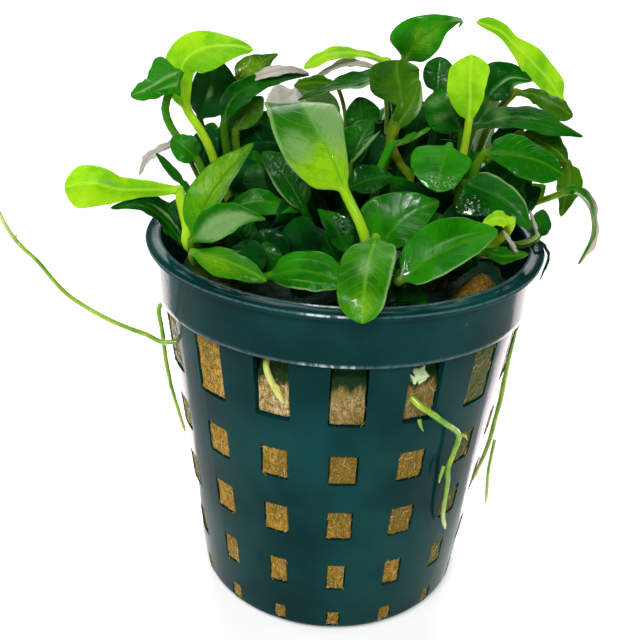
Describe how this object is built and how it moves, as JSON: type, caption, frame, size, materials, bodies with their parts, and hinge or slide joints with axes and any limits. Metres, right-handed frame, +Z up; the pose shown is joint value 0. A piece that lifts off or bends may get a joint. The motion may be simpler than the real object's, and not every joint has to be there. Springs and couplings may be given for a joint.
{
  "type": "potted aquarium plant",
  "caption": "Small broad-leaved rhizome plant with glossy oval leaves and trailing roots, in a tapered plastic net pot filled with rockwool.",
  "frame": {"origin": "middle of the pot's flat underside", "axes": "+Z up along the pot's axis, -Y is the front that the picture looks at, +X to the right"},
  "size_m": [0.0782, 0.0583, 0.0841],
  "materials": {
    "pot_plastic": "gloss",
    "rockwool": "matte",
    "rhizome": "satin",
    "root": "satin",
    "leaf_lime": "gloss",
    "leaf_fresh": "gloss",
    "leaf_mid": "gloss",
    "leaf_deep": "gloss",
    "leaf_dark": "gloss",
    "leaf_olive": "gloss",
    "leaf_pale": "gloss"
  },
  "bodies": {
    "root": {"leaf_arching_left": "leaf_deep", "leaf_back_left": "leaf_mid", "leaf_back_middle_left": "leaf_deep", "leaf_back_middle_right": "leaf_mid", "leaf_back_right": "leaf_deep", "leaf_big_front_right": "leaf_mid", "leaf_big_pale_centre": "leaf_fresh", "leaf_blue_sheen": "leaf_deep", "leaf_broad_right_centre": "leaf_mid", "leaf_curled_rim_right": "leaf_deep", "leaf_dark_back_right": "leaf_deep", "leaf_dark_behind_big": "leaf_deep", "leaf_dark_by_petiole": "leaf_deep", "leaf_dark_drooping_right": "leaf_deep", "leaf_dark_edge_left_centre": "leaf_deep", "leaf_dark_round_left": "leaf_dark", "leaf_dark_top_centre": "leaf_deep", "leaf_dark_under_left": "leaf_deep", "leaf_drooping_far_right": "leaf_mid", "leaf_folded_far_left": "leaf_mid", "leaf_front_drooping": "leaf_fresh", "leaf_green_behind_sheen": "leaf_mid", "leaf_green_left_upright": "leaf_mid", "leaf_green_right": "leaf_mid", "leaf_green_top": "leaf_mid", "leaf_grey_sheen": "leaf_pale", "leaf_lime_far_left": "leaf_lime", "leaf_lime_spoon": "leaf_lime", "leaf_lime_top_centre": "leaf_lime", "leaf_lime_top_left": "leaf_lime", "leaf_lime_top_right": "leaf_lime", "leaf_long_dark_right": "leaf_deep", "leaf_olive_arching_right": "leaf_olive", "leaf_olive_back_left": "leaf_olive", "leaf_olive_behind_right": "leaf_olive", "leaf_olive_far_right": "leaf_olive", "leaf_olive_upright_centre": "leaf_olive", "leaf_pale_side_left": "leaf_pale", "leaf_ribbed_rim_left": "leaf_fresh", "leaf_round_sparkle": "leaf_mid", "leaf_sheen_left_front": "leaf_mid", "leaf_small_brown_tip": "leaf_mid", "leaf_small_clump_left": "leaf_mid", "leaf_small_upright_centre": "leaf_olive", "leaf_sparkly_back": "leaf_deep", "leaf_striped_front": "leaf_mid", "leaf_thin_crescent": "leaf_mid", "leaf_tiny_lime": "leaf_lime", "net_pot": "pot_plastic", "rhizome_centre": "rhizome", "rhizome_left": "rhizome", "rhizome_right": "rhizome", "rockwool": "rockwool", "root_back_branch": "root", "root_back_right": "root", "root_front_branch": "root", "root_front_right": "root", "root_hanging_left": "root", "root_in_window": "root", "root_long_left": "root"}
  },
  "joints": []
}
